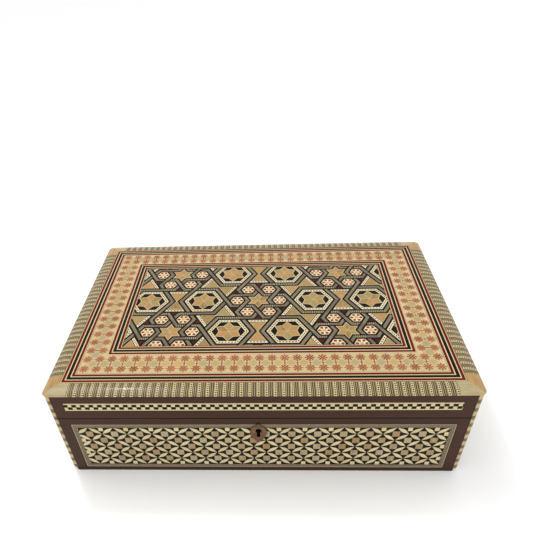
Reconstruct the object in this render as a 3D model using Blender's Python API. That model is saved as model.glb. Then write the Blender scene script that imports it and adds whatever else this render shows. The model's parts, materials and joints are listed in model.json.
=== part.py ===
"""Inlaid jewellery box: a wooden box with a hinged lid, veneered with star marquetry.

Units are metres, +Z is up, +X runs along the long side and the front faces -Y. The origin is the
middle of the underside. The base is four boards on a bottom board, with a mosaic panel let into
each face and a striped strip at each corner. The lid is four rails round a board that carries
the inlay: star field, inner frame, rosette band, outer frame, and a rounded striped border.
Two butt hinges join them at the back, and a small box lock sits in the front board.
"""

import math

import bmesh
import bpy
from mathutils import Matrix, Vector

# ---------------------------------------------------------------- driving dimensions
MM = 0.001
LENGTH = 245.2 * MM          # outside of the boards, along X
DEPTH = 163.4 * MM           # outside of the boards, along Y
HEIGHT = 72.0 * MM           # underside to the top of the inlay
LID_HEIGHT = 21.5 * MM       # the joint between base and lid to the top
GAP = 0.3 * MM               # clearance between pieces that touch
WALL = 9.0 * MM              # boards and rails
BOTTOM_THICK = 2.2 * MM
CORNER_SIZE = 3.2 * MM       # corner strip, seen on either face
CORNER_RADIUS = 2.6 * MM

PANEL_MARGIN = 10.1 * MM     # end of the box to the end of a panel or checker strip
PANEL_LOW = 3.9 * MM         # height of the panel's lower edge
PANEL_DROP = 5.6 * MM        # the joint to the panel's upper edge
VENEER = 1.0 * MM            # thickness of panels and checker strips
CHECKER_RISE = 7.0 * MM      # the joint to the checker strip's lower edge
CHECKER_HEIGHT = 5.8 * MM

LID_BOARD_THICK = 4.5 * MM
INLAY_THICK = 1.2 * MM       # star field, frames and band on the lid
BORDER_X = 8.9 * MM          # striped border at the two ends
BORDER_Y = 9.0 * MM          # striped border at the front and back
BORDER_DROP = 1.8 * MM       # how far the border curves down to its edge
BORDER_LIP = 0.4 * MM        # upright edge of the border
BORDER_BEND = 2.4            # how late the border starts to curve down
OVERHANG = 0.8 * MM          # border past the boards
PEARL_LENGTH = 14.7 * MM     # pearl corner of the border, along each side
FRAME_WIDTH = 7.4 * MM       # either seven-line frame
BAND_WIDTH = 14.5 * MM       # rosette band between the frames
INLAY_SHIFT = 1.8 * MM       # star field and inner frame, back from the middle

HINGE_X = 75.0 * MM          # hinge centres from the middle
HINGE_LENGTH = 24.0 * MM
HINGE_INSET = 3.5 * MM       # pin axis, in from the back face
LID_STOP_DEG = 98.0          # the lid stops where the two back bevels meet
BEVEL_SPARE = 1.5            # degrees left between them there
LEAF_THICK = 0.9 * MM
LEAF_WIDTH = 5.0 * MM
BARREL_RADIUS = 1.7 * MM
PIN_RADIUS = 0.6 * MM
PIN_HEAD = 0.5 * MM
SCREW_RADIUS = 0.5 * MM
SCREW_HEAD_RADIUS = 0.95 * MM
SCREW_LENGTH = 6.0 * MM
SCREW_X = 8.0 * MM           # hinge screws from the hinge's middle

LOCK_X = -1.1 * MM           # the keyhole is a little left of the middle
KEY_DROP = 10.3 * MM         # the joint to the centre of the key post
KEYHOLE_RADIUS = 1.8 * MM
KEYHOLE_SLOT = 2.0 * MM
KEYHOLE_DROP = 5.8 * MM      # slot's lower end, below the key post
POST_RADIUS = 0.8 * MM
CASE_LENGTH = 26.0 * MM
CASE_HEIGHT = 18.2 * MM
CASE_DEPTH = 3.8 * MM
CASE_SHEET = 0.8 * MM
BOLT_LENGTH = 9.0 * MM
BOLT_HEIGHT = 2.6 * MM
BOLT_THICK = 2.0 * MM
BOLT_LOW = 6.3 * MM          # bolt's lower edge, below the seam
BOLT_TRAVEL = 3.6 * MM
HOOK_ROOM = 1.0 * MM         # thrown bolt to the hook's stem
HOOK_REACH = 1.0 * MM        # hook's tip, left of the keyhole
STRIKE_LEFT = 6.0 * MM       # strike plate, either way from the keyhole
STRIKE_RIGHT = 10.0 * MM
HOOK_THICK = 1.6 * MM
ESCUTCHEON_THICK = 0.45 * MM
ESCUTCHEON_RAISE = 2.1 * MM  # key post to the plate's centre, downwards

LINING = 1.2 * MM
FLOOR_PAD = 2.0 * MM

# ---------------------------------------------------------------- values that follow
HALF = GAP / 2
END = LENGTH / 2
SIDE = DEPTH / 2
SEAM_Z = HEIGHT - LID_HEIGHT
KEY_Z = SEAM_Z - KEY_DROP
BASE_TOP = SEAM_Z - HALF
LID_LOW = SEAM_Z + HALF
BOARD_LOW = BOTTOM_THICK + GAP
INLAY_LOW = HEIGHT - INLAY_THICK
LID_BOARD_TOP = INLAY_LOW - GAP
LID_BOARD_LOW = LID_BOARD_TOP - LID_BOARD_THICK
BORDER_LOW = HEIGHT - BORDER_DROP - BORDER_LIP
RAIL_TOP = BORDER_LOW - GAP
INNER_END = END - WALL
INNER_SIDE = SIDE - WALL
EDGE_X = END + OVERHANG
EDGE_Y = SIDE + OVERHANG
FIELD_X = EDGE_X - BORDER_X - 2 * FRAME_WIDTH - BAND_WIDTH
FIELD_Y = EDGE_Y - BORDER_Y - 2 * FRAME_WIDTH - BAND_WIDTH
HINGE_Y = SIDE - HINGE_INSET
BEVEL = math.radians((LID_STOP_DEG + BEVEL_SPARE) / 2)  # fall of either back bevel from level
CASE_BACK = -INNER_SIDE                                # lock plate, flush with the inner face
CASE_FRONT = CASE_BACK - CASE_DEPTH
BOLT_Y = (CASE_FRONT + CASE_BACK - CASE_SHEET) / 2
ARC_STEPS = 8
ROUND = 20

# ---------------------------------------------------------------- an empty scene
for old in list(bpy.data.objects):
    bpy.data.objects.remove(old)
for old in list(bpy.data.collections):
    bpy.data.collections.remove(old)
BOX = bpy.data.collections.new("inlaid_box")
CUTTERS = bpy.data.collections.new("cutters")
bpy.context.scene.collection.children.link(BOX)
bpy.context.scene.collection.children.link(CUTTERS)


# ---------------------------------------------------------------- materials
def material(name, colour, roughness, metallic=0.0):
    """A Principled material; colour is linear RGB."""
    made = bpy.data.materials.new(name)
    made.use_nodes = True
    shader = made.node_tree.nodes["Principled BSDF"]
    shader.inputs["Base Color"].default_value = (*colour, 1.0)
    shader.inputs["Roughness"].default_value = roughness
    shader.inputs["Metallic"].default_value = metallic
    return made


MAHOGANY = material("mahogany", (0.060, 0.030, 0.020), 0.35)
PLYWOOD = material("plywood", (0.35, 0.20, 0.10), 0.70)
MOSAIC = material("mosaic", (0.42, 0.34, 0.20), 0.35)
STRIPED = material("striped_veneer", (0.36, 0.30, 0.18), 0.35)
PEARL = material("pearl", (0.50, 0.40, 0.25), 0.22)
VELVET = material("velvet", (0.20, 0.010, 0.014), 0.95)
BRASS = material("aged_brass", (0.33, 0.18, 0.08), 0.45, 1.0)
STEEL = material("steel", (0.42, 0.41, 0.40), 0.40, 1.0)


# ---------------------------------------------------------------- building blocks
def place(mesh, name, look, collection=BOX):
    """An object of that mesh and material, in the box's collection."""
    mesh.name = name
    if look:
        mesh.materials.append(look)
    made = bpy.data.objects.new(name, mesh)
    collection.objects.link(made)
    return made


def as_cutter(made):
    """Marks an object as a cutter: outlined, not rendered, and left out of the model."""
    made.hide_render = True
    made.display_type = "WIRE"
    return made


def cuboid(low, high):
    """A bmesh box between two corners."""
    low, high = Vector(low), Vector(high)
    shape = bmesh.new()
    size = high - low
    where = Matrix.Translation((low + high) / 2) @ Matrix.Diagonal((*size, 1.0))
    bmesh.ops.create_cube(shape, size=1.0, matrix=where)
    return shape


def to_mesh(shape):
    """The bmesh as a mesh with its faces outward."""
    bmesh.ops.recalc_face_normals(shape, faces=shape.faces)
    mesh = bpy.data.meshes.new("mesh")
    shape.to_mesh(mesh)
    shape.free()
    return mesh


def block(name, low, high, look):
    """A plain box-shaped piece."""
    return place(to_mesh(cuboid(low, high)), name, look)


def rod(start, end, radius, end_radius=None):
    """A bmesh cylinder, or a cone with end_radius, from start to end."""
    start, end = Vector(start), Vector(end)
    along = end - start
    turn = along.to_track_quat("Z", "Y").to_matrix().to_4x4()
    shape = bmesh.new()
    bmesh.ops.create_cone(
        shape, cap_ends=True, segments=ROUND, radius1=radius,
        radius2=radius if end_radius is None else end_radius, depth=along.length,
        matrix=Matrix.Translation((start + end) / 2) @ turn)
    return shape


def modify(target, shape, operation, name):
    """Cuts the bmesh shape out of target, adds it, or keeps what is inside it."""
    tool = as_cutter(place(to_mesh(shape), f"{target.name}_{name}", None, CUTTERS))
    step = target.modifiers.new(name, "BOOLEAN")
    step.object = tool
    step.operation = operation
    step.solver = "EXACT"
    return target


def cut(target, low, high, name):
    """Cuts a box out of target."""
    return modify(target, cuboid(low, high), "DIFFERENCE", name)


def drill(target, start, end, radius, name, end_radius=None):
    """Cuts a cylinder or cone out of target."""
    return modify(target, rod(start, end, radius, end_radius), "DIFFERENCE", name)


def wedge(outline, half_length):
    """A prism along X from (y, z) points: a circle of as many corners, moved onto them."""
    shape = bmesh.new()
    ring = bmesh.ops.create_circle(shape, cap_ends=True, segments=len(outline))["verts"]
    for vert, (y, z) in zip(ring, outline):
        vert.co = (-half_length, y, z)
    grown = bmesh.ops.extrude_face_region(shape, geom=list(shape.faces))
    new = [item for item in grown["geom"] if isinstance(item, bmesh.types.BMVert)]
    bmesh.ops.translate(shape, verts=new, vec=(2 * half_length, 0, 0))
    return shape


# ---------------------------------------------------------------- boards, rails and corners
def back_bevel(target, upwards):
    """Bevels a piece's back edge at the seam, so that the open lid stops on the base."""
    reach = HINGE_INSET + 4 * OVERHANG
    rise = math.tan(BEVEL) * reach
    sign = 1 if upwards else -1
    outline = [(HINGE_Y, SEAM_Z), (HINGE_Y + reach, SEAM_Z + sign * rise),
               (HINGE_Y + reach, SEAM_Z - sign * 4 * GAP), (HINGE_Y, SEAM_Z - sign * 4 * GAP)]
    return modify(target, wedge(outline, END + 4 * OVERHANG), "DIFFERENCE", "bevel")


def long_board(name, facing, low, high):
    """A front (facing -1) or back (+1) board: full length, notched for the corner strips."""
    near, far = sorted((facing * (SIDE - WALL), facing * SIDE))
    board = block(name, (-END, near, low), (END, far, high), MAHOGANY)
    notch = CORNER_SIZE + GAP
    for end in (-1, 1):
        x0, x1 = sorted((end * (END - notch), end * (END + GAP)))
        y0, y1 = sorted((facing * (SIDE - notch), facing * (SIDE + GAP)))
        cut(board, (x0, y0, low - GAP), (x1, y1, high + GAP), f"notch{end}")
    return board


def short_board(name, facing, low, high):
    """A left (facing -1) or right (+1) board, between the two long ones."""
    near, far = sorted((facing * (END - WALL), facing * END))
    y = INNER_SIDE - GAP
    return block(name, (near, -y, low), (far, y, high), MAHOGANY)


def corner_strip(name, end, facing, low, high):
    """A corner strip: square inside and rounded outside."""
    x0, x1 = sorted((end * (END - CORNER_SIZE), end * END))
    y0, y1 = sorted((facing * (SIDE - CORNER_SIZE), facing * SIDE))
    shape = cuboid((x0, y0, low), (x1, y1, high))
    outer = [edge for edge in shape.edges
             if all((vert.co.x - end * END) ** 2 + (vert.co.y - facing * SIDE) ** 2 < GAP ** 2
                    for vert in edge.verts)]
    bmesh.ops.bevel(shape, geom=outer, offset=CORNER_RADIUS, segments=ARC_STEPS,
                    affect="EDGES", profile=0.5)
    return place(to_mesh(shape), name, STRIPED)


def inlay(board, name, facing, low, high, look):
    """A veneer panel in the face of a board, and the shallow pocket that takes it.

    facing is (x, y), the outward direction of the board's face.
    """
    fx, fy = facing
    half = (END if fy else SIDE) - PANEL_MARGIN
    face = SIDE if fy else END
    spans = []
    for deep, wider in ((VENEER, 0.0), (VENEER + GAP, GAP)):
        over = wider                      # a pocket's cutter stands out past the face
        if fy:
            y0, y1 = sorted((fy * (face - deep), fy * (face + over)))
            spans.append(((-half - wider, y0, low - wider), (half + wider, y1, high + wider)))
        else:
            x0, x1 = sorted((fx * (face - deep), fx * (face + over)))
            spans.append(((x0, -half - wider, low - wider), (x1, half + wider, high + wider)))
    cut(board, *spans[1], f"{name}_pocket")
    return block(name, *spans[0], look)


SIDES = {"front": (0, -1), "back": (0, 1), "left": (-1, 0), "right": (1, 0)}
CORNERS = {"front_left": (-1, -1), "front_right": (1, -1), "back_left": (-1, 1),
           "back_right": (1, 1)}


def box_walls(prefix, low, high):
    """The four boards and four corner strips of the base or the lid."""
    made = {}
    for side, (fx, fy) in SIDES.items():
        build = long_board if fy else short_board
        made[side] = build(f"{prefix}_{side}", fy or fx, low, high)
    for corner, (fx, fy) in CORNERS.items():
        made[corner] = corner_strip(f"{prefix}_corner_{corner}", fx, fy, low, high)
    return made


base = box_walls("base", BOARD_LOW, BASE_TOP)
lid = box_walls("lid", LID_LOW, RAIL_TOP)
for side in ("back", "back_left", "back_right"):
    back_bevel(base[side], upwards=False)
    back_bevel(lid[side], upwards=True)

panels = {}
for side, facing in SIDES.items():
    panels[side] = inlay(base[side], f"mosaic_panel_{side}", facing, PANEL_LOW,
                         SEAM_Z - PANEL_DROP, MOSAIC)
    inlay(lid[side], f"checker_strip_{side}", facing, SEAM_Z + CHECKER_RISE,
          SEAM_Z + CHECKER_RISE + CHECKER_HEIGHT, MOSAIC)

# The bottom board lies under the boards, its corners cut off short of the corner strips.
bottom_shape = cuboid((-END, -SIDE, 0), (END, SIDE, BOTTOM_THICK))
upright = [edge for edge in bottom_shape.edges
           if abs(edge.verts[0].co.z - edge.verts[1].co.z) > BOTTOM_THICK / 2]
bmesh.ops.bevel(bottom_shape, geom=upright, offset=CORNER_SIZE, segments=1, affect="EDGES")
bottom = place(to_mesh(bottom_shape), "bottom_board", MAHOGANY)

# ---------------------------------------------------------------- lining
block("lining_floor", (GAP - INNER_END, GAP - INNER_SIDE, BOARD_LOW),
      (INNER_END - GAP, INNER_SIDE - GAP, BOARD_LOW + FLOOR_PAD), VELVET)
lining_low = BOARD_LOW + FLOOR_PAD + GAP
lining_top = BASE_TOP - LEAF_THICK - 2 * GAP
lining = block("lining_walls", (GAP - INNER_END, GAP - INNER_SIDE, lining_low),
               (INNER_END - GAP, INNER_SIDE - GAP, lining_top), VELVET)
cut(lining, (LINING + GAP - INNER_END, LINING + GAP - INNER_SIDE, 0),
    (INNER_END - LINING - GAP, INNER_SIDE - LINING - GAP, HEIGHT), "room")
case_low = BASE_TOP - HALF - CASE_HEIGHT
cut(lining, (LOCK_X - CASE_LENGTH / 2 - GAP, -INNER_SIDE, case_low - GAP),
    (LOCK_X + CASE_LENGTH / 2 + GAP, LINING + 2 * GAP - INNER_SIDE, HEIGHT), "lock_window")
block("lid_lining", (GAP - INNER_END, GAP - INNER_SIDE, LID_BOARD_LOW - GAP - LINING),
      (INNER_END - GAP, INNER_SIDE - GAP, LID_BOARD_LOW - GAP), VELVET)


# ---------------------------------------------------------------- lid top and its inlay
block("lid_board", (GAP - INNER_END, GAP - INNER_SIDE, LID_BOARD_LOW),
      (INNER_END - GAP, INNER_SIDE - GAP, LID_BOARD_TOP), PLYWOOD)


def flat_ring(name, outer_x, outer_y, width, look, outer_shift=0.0, inner_shift=0.0):
    """A rectangular ring of veneer on the lid, half a gap in from its nominal edges.

    The shifts move its outer and inner edges back from the middle of the lid.
    """
    ring = block(name, (HALF - outer_x, HALF - outer_y + outer_shift, INLAY_LOW),
                 (outer_x - HALF, outer_y - HALF + outer_shift, HEIGHT), look)
    x, y = outer_x - width + HALF, outer_y - width + HALF
    return cut(ring, (-x, inner_shift - y, 0), (x, inner_shift + y, 2 * HEIGHT), "window")


block("star_field", (HALF - FIELD_X, HALF - FIELD_Y + INLAY_SHIFT, INLAY_LOW),
      (FIELD_X - HALF, FIELD_Y - HALF + INLAY_SHIFT, HEIGHT), MOSAIC)
reach = FRAME_WIDTH
flat_ring("inner_frame", FIELD_X + reach, FIELD_Y + reach, FRAME_WIDTH, STRIPED,
          INLAY_SHIFT, INLAY_SHIFT)
reach += BAND_WIDTH
flat_ring("rosette_band", FIELD_X + reach, FIELD_Y + reach, BAND_WIDTH, MOSAIC,
          inner_shift=INLAY_SHIFT)
reach += FRAME_WIDTH
flat_ring("outer_frame", FIELD_X + reach, FIELD_Y + reach, FRAME_WIDTH, STRIPED)


def rounded_outline(half_x, half_y, radius):
    """Points of a rectangle with round corners, counter-clockwise, ARC_STEPS + 1 a corner."""
    points = []
    for quarter, (sx, sy) in enumerate(((1, 1), (-1, 1), (-1, -1), (1, -1))):
        for step in range(ARC_STEPS + 1):
            angle = math.radians(90) * (quarter + step / ARC_STEPS)
            points.append((sx * (half_x - radius) + radius * math.cos(angle),
                           sy * (half_y - radius) + radius * math.sin(angle)))
    return points


def border_cap():
    """The border's outside as one loft: an upright lip, then a curve that flattens inwards."""
    width = min(BORDER_X, BORDER_Y)
    levels = [(HALF, BORDER_LOW), (0.0, BORDER_LOW + HALF), (0.0, BORDER_LOW + BORDER_LIP - HALF)]
    for share in (0.02, 0.12, 0.28, 0.48, 0.72, 1.0):
        drop = BORDER_DROP * (1 - share) ** BORDER_BEND
        levels.append((share * width, HEIGHT - drop))
    shape = bmesh.new()
    rings = []
    for inset, z in levels:
        radius = max(CORNER_SIZE + OVERHANG - inset, GAP)
        points = rounded_outline(EDGE_X - inset, EDGE_Y - inset, radius)
        rings.append([shape.verts.new((x, y, z)) for x, y in points])
    for lower, upper in zip(rings, rings[1:]):
        for here in range(len(lower)):
            there = (here + 1) % len(lower)
            shape.faces.new((lower[here], lower[there], upper[there], upper[here]))
    shape.faces.new(rings[-1])
    shape.faces.new(reversed(rings[0]))
    return shape


def border_piece(name, low, high, look):
    """The part of the border inside a box, hollowed over the inlay and the lid board."""
    piece = place(to_mesh(border_cap()), name, look)
    modify(piece, cuboid((*low, 0), (*high, 2 * HEIGHT)), "INTERSECT", "share")
    x, y = EDGE_X - BORDER_X + HALF, EDGE_Y - BORDER_Y + HALF
    cut(piece, (-x, -y, 0), (x, y, 2 * HEIGHT), "inlay_room")
    if INNER_END > x or INNER_SIDE > y:          # the border reaches in over the lid board
        x, y = max(INNER_END, x + GAP), max(INNER_SIDE, y + GAP)
        cut(piece, (-x, -y, 0), (x, y, INLAY_LOW), "board_room")
    return piece


far = 2 * LENGTH
break_x = EDGE_X - PEARL_LENGTH
break_y = EDGE_Y - PEARL_LENGTH
for side, (fx, fy) in SIDES.items():
    if fy:
        y0, y1 = sorted((0, fy * far))
        border_piece(f"striped_border_{side}", (HALF - break_x, y0), (break_x - HALF, y1), STRIPED)
    else:
        x0, x1 = sorted((0, fx * far))
        border_piece(f"striped_border_{side}", (x0, HALF - break_y), (x1, break_y - HALF), STRIPED)
for corner, (fx, fy) in CORNERS.items():
    x0, x1 = sorted((fx * (break_x + HALF), fx * far))
    y0, y1 = sorted((fy * (break_y + HALF), fy * far))
    border_piece(f"pearl_corner_{corner}", (x0, y0), (x1, y1), PEARL)


# ---------------------------------------------------------------- hinges
def hinge_room(board, x, leaf_low, leaf_high, upwards):
    """Lets one hinge's leaf and barrels into a board's edge, with pilot holes for the screws."""
    half = HINGE_LENGTH / 2 + GAP
    cut(board, (x - half, HINGE_Y - LEAF_WIDTH - GAP, leaf_low),
        (x + half, HINGE_Y, leaf_high), f"leaf_room{x:.3f}")
    ends = HINGE_LENGTH / 2 + PIN_HEAD + 2 * GAP
    drill(board, (x - ends, HINGE_Y, SEAM_Z), (x + ends, HINGE_Y, SEAM_Z),
          BARREL_RADIUS + GAP, f"barrel_room{x:.3f}")
    for offset in (-SCREW_X, SCREW_X):
        deep = SEAM_Z + (1 if upwards else -1) * (SCREW_LENGTH + 2 * GAP)
        drill(board, (x + offset, SCREW_Y, SEAM_Z), (x + offset, SCREW_Y, deep),
              SCREW_RADIUS + GAP, f"pilot{x + offset:.3f}")


def hinge_leaf(name, x, upwards):
    """A leaf with its share of the barrel: two ends for the base, the middle for the lid."""
    low = SEAM_Z + HALF if upwards else SEAM_Z - HALF - LEAF_THICK
    half = HINGE_LENGTH / 2
    third = HINGE_LENGTH / 6
    leaf = block(name, (x - half, HINGE_Y - LEAF_WIDTH, low),
                 (x + half, HINGE_Y - HALF, low + LEAF_THICK), BRASS)
    if upwards:
        own = [(-third + HALF, third - HALF)]
        others = [(-half - GAP, -third - HALF), (third + HALF, half + GAP)]
    else:
        own = [(-half, -third - HALF), (third + HALF, half)]
        others = [(-third + HALF - GAP, third - HALF + GAP)]
    for start, end in others:
        drill(leaf, (x + start, HINGE_Y, SEAM_Z), (x + end, HINGE_Y, SEAM_Z),
              BARREL_RADIUS + GAP, f"clear{start:.3f}")
    for start, end in own:
        modify(leaf, rod((x + start, HINGE_Y, SEAM_Z), (x + end, HINGE_Y, SEAM_Z), BARREL_RADIUS),
               "UNION", f"barrel{start:.3f}")
    drill(leaf, (x - half - GAP, HINGE_Y, SEAM_Z), (x + half + GAP, HINGE_Y, SEAM_Z),
          PIN_RADIUS + GAP, "pin_room")
    sign = 1 if upwards else -1
    for offset in (-SCREW_X, SCREW_X):
        spot = (x + offset, SCREW_Y)
        drill(leaf, (*spot, SEAM_Z - sign * (GAP - HALF)),
              (*spot, SEAM_Z + sign * (HALF + LEAF_THICK + GAP)),
              SCREW_HEAD_RADIUS + GAP, f"sink{offset:.3f}", SCREW_RADIUS + GAP)
    return leaf


def hinge_screw(name, x, upwards):
    """A countersunk screw, its head level with the leaf."""
    sign = 1 if upwards else -1
    top = SEAM_Z + sign * 2 * HALF
    neck = SEAM_Z + sign * (HALF + LEAF_THICK)
    tip = SEAM_Z + sign * (HALF + SCREW_LENGTH)
    screw = place(to_mesh(rod((x, SCREW_Y, top), (x, SCREW_Y, neck), SCREW_HEAD_RADIUS,
                              SCREW_RADIUS)), name, BRASS)
    overlap = top + sign * HALF
    return modify(screw, rod((x, SCREW_Y, overlap), (x, SCREW_Y, tip), SCREW_RADIUS), "UNION",
                  "shank")


def hinge_pin(name, x):
    """A pin with a flat head at each end."""
    half = HINGE_LENGTH / 2 + GAP + PIN_HEAD
    pin = place(to_mesh(rod((x - half, HINGE_Y, SEAM_Z), (x + half, HINGE_Y, SEAM_Z),
                            PIN_RADIUS)), name, BRASS)
    for end in (-1, 1):
        outer = x + end * half
        inner = outer - end * PIN_HEAD
        modify(pin, rod((inner, HINGE_Y, SEAM_Z), (outer, HINGE_Y, SEAM_Z),
                        PIN_RADIUS + GAP), "UNION", f"head{end}")
    return pin


SCREW_Y = HINGE_Y - LEAF_WIDTH + SCREW_HEAD_RADIUS + 2 * GAP
leaf_floor = SEAM_Z - HALF - LEAF_THICK - GAP
leaf_roof = SEAM_Z + HALF + LEAF_THICK + GAP
for hand, x in (("left", -HINGE_X), ("right", HINGE_X)):
    hinge_room(base["back"], x, leaf_floor, HEIGHT, upwards=False)
    hinge_room(lid["back"], x, 0.0, leaf_roof, upwards=True)
    hinge_leaf(f"hinge_{hand}_base_leaf", x, upwards=False)
    hinge_leaf(f"hinge_{hand}_lid_leaf", x, upwards=True)
    hinge_pin(f"hinge_{hand}_pin", x)
    for end, offset in (("outer", -SCREW_X), ("inner", SCREW_X)):
        turned = offset if x < 0 else -offset
        hinge_screw(f"screw_{hand}_base_{end}", x + turned, upwards=False)
        hinge_screw(f"screw_{hand}_lid_{end}", x + turned, upwards=True)

# ---------------------------------------------------------------- lock
case_top = BASE_TOP - HALF
x0, x1 = LOCK_X - CASE_LENGTH / 2, LOCK_X + CASE_LENGTH / 2
cut(base["front"], (x0 - GAP, CASE_FRONT - GAP, case_low - GAP), (x1 + GAP, 0, HEIGHT), "case_room")

case = block("lock_case", (x0, CASE_FRONT, case_low), (x1, CASE_BACK, case_top), BRASS)
cut(case, (x0 + CASE_SHEET, CASE_FRONT - GAP, case_low + CASE_SHEET),
    (x1 - CASE_SHEET, CASE_BACK - CASE_SHEET, case_top - CASE_SHEET), "works_room")

hook_tip = LOCK_X - HOOK_REACH
bolt_end = hook_tip - 2 * GAP
hook_stem = bolt_end + BOLT_TRAVEL + HOOK_ROOM
hook_back = hook_stem + HOOK_THICK
cut(case, (hook_tip - 2 * GAP, CASE_FRONT - GAP, case_top - 2 * CASE_SHEET),
    (hook_back + 2 * GAP, BOLT_Y + HOOK_THICK / 2 + 1.5 * GAP, HEIGHT), "hook_slot")

bolt_low = SEAM_Z - BOLT_LOW
bolt = block("lock_bolt", (bolt_end - BOLT_LENGTH, BOLT_Y - BOLT_THICK / 2, bolt_low),
             (bolt_end, BOLT_Y + BOLT_THICK / 2, bolt_low + BOLT_HEIGHT), BRASS)
for vert in bolt.data.vertices:                       # the origin goes to the bolt's end
    vert.co -= Vector((bolt_end, BOLT_Y, bolt_low))
bolt.location = (bolt_end, BOLT_Y, bolt_low)

place(to_mesh(rod((LOCK_X, CASE_BACK - CASE_SHEET - GAP, KEY_Z),
                  (LOCK_X, GAP * 5 - SIDE, KEY_Z), POST_RADIUS)), "lock_key_post", STEEL)

# The strike plate is let into the front rail, with a hook that the bolt slides over.
plate_x0, plate_x1 = LOCK_X - STRIKE_LEFT, LOCK_X + STRIKE_RIGHT
plate_y0, plate_y1 = CASE_FRONT - GAP, CASE_BACK - GAP
cut(lid["front"], (plate_x0 - GAP, plate_y0 - GAP, 0), (plate_x1 + GAP, plate_y1 + GAP,
                                                         LID_LOW + LEAF_THICK + GAP), "plate_room")
strike = block("strike_plate", (plate_x0, plate_y0, LID_LOW),
               (plate_x1, plate_y1, LID_LOW + LEAF_THICK), BRASS)
hook_y0, hook_y1 = BOLT_Y - HOOK_THICK / 2, BOLT_Y + HOOK_THICK / 2
foot_top = bolt_low - 2 * GAP
modify(strike, cuboid((hook_stem, hook_y0, foot_top - HOOK_THICK / 2),
                      (hook_back, hook_y1, LID_LOW + LEAF_THICK / 2)), "UNION", "stem")
modify(strike, cuboid((hook_tip, hook_y0, foot_top - HOOK_THICK),
                      (hook_back, hook_y1, foot_top)), "UNION", "foot")


def keyhole(target, near, deep, grow=0.0):
    """Cuts the keyhole through a piece of the front, from y = near to y = deep."""
    drill(target, (LOCK_X, near, KEY_Z), (LOCK_X, deep, KEY_Z), KEYHOLE_RADIUS + grow, "key_round")
    half = KEYHOLE_SLOT / 2 + grow
    cut(target, (LOCK_X - half, near, KEY_Z - KEYHOLE_DROP - grow),
        (LOCK_X + half, deep, KEY_Z), "key_slot")


keyhole(base["front"], -EDGE_Y, CASE_FRONT + GAP)
keyhole(panels["front"], -EDGE_Y, GAP + VENEER - SIDE)


def escutcheon_outline():
    """Half the keyhole plate's outline, as (across, up) in millimetres from its centre."""
    return [(0.0, 8.5), (1.2, 6.9), (2.5, 5.9), (3.9, 4.6), (4.9, 2.2), (5.05, 0.2), (4.5, -1.9),
            (3.9, -3.2), (3.3, -4.9), (2.2, -6.0), (1.7, -7.5), (0.8, -8.3), (0.0, -8.5)]


def escutcheon():
    """The keyhole plate: a flat filled curve, given its thickness by extrusion."""
    half = escutcheon_outline()
    points = half + [(-x, z) for x, z in reversed(half[1:-1])]
    curve = bpy.data.curves.new("escutcheon_outline", "CURVE")
    curve.dimensions = "2D"
    curve.fill_mode = "BOTH"
    curve.extrude = ESCUTCHEON_THICK / 2
    line = curve.splines.new("POLY")
    line.points.add(len(points) - 1)
    line.use_cyclic_u = True
    for point, (x, z) in zip(line.points, points):
        point.co = (x * MM, z * MM, 0.0, 1.0)
    flat = bpy.data.objects.new("escutcheon_outline", curve)
    CUTTERS.objects.link(flat)
    graph = bpy.context.evaluated_depsgraph_get()
    mesh = bpy.data.meshes.new_from_object(flat.evaluated_get(graph))
    bpy.data.objects.remove(flat)
    shape = bmesh.new()
    shape.from_mesh(mesh)
    bmesh.ops.remove_doubles(shape, verts=shape.verts, dist=0.00001)
    upright_turn = Matrix.Rotation(math.radians(90), 4, "X")
    where = Matrix.Translation((LOCK_X, -SIDE - GAP - ESCUTCHEON_THICK / 2,
                                KEY_Z - ESCUTCHEON_RAISE))
    bmesh.ops.transform(shape, matrix=where @ upright_turn, verts=shape.verts)
    bpy.data.meshes.remove(mesh)
    plate = place(to_mesh(shape), "escutcheon", BRASS)
    keyhole(plate, -EDGE_Y - GAP, -SIDE)
    return plate


escutcheon()

# ---------------------------------------------------------------- what moves
axis = bpy.data.objects.new("lid_hinge_axis", None)
axis.location = (0.0, HINGE_Y, SEAM_Z)
BOX.objects.link(axis)
LID_NAMES = ("lid_", "checker_strip", "star_field", "inner_frame", "rosette_band", "outer_frame",
             "striped_border", "pearl_corner", "strike_plate")
for made in BOX.objects:
    if made.name.startswith(LID_NAMES) and made is not axis or "_lid_" in made.name:
        made.parent = axis
        made.matrix_parent_inverse = Matrix.Translation(axis.location).inverted()
for made in BOX.objects:
    if made.type == "MESH":
        made.data.shade_smooth()
        made.data.set_sharp_from_angle(angle=math.radians(35))
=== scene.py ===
# %% [markdown]
# # An inlaid jewellery box
#
# Boxes like this are made in workshops around the eastern Mediterranean. A plain hardwood box is
# covered with tesserae, small pieces of mother of pearl, bone, ebony and stained wood, and the
# whole is lacquered. Here every tessera is a real, thin piece of geometry with a grain of its own,
# because that is what gives the finished surface its life: no two pieces catch the light alike.
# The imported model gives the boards, the hinges and the lock, and this lesson dresses them.

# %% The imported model
import json
import math

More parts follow.
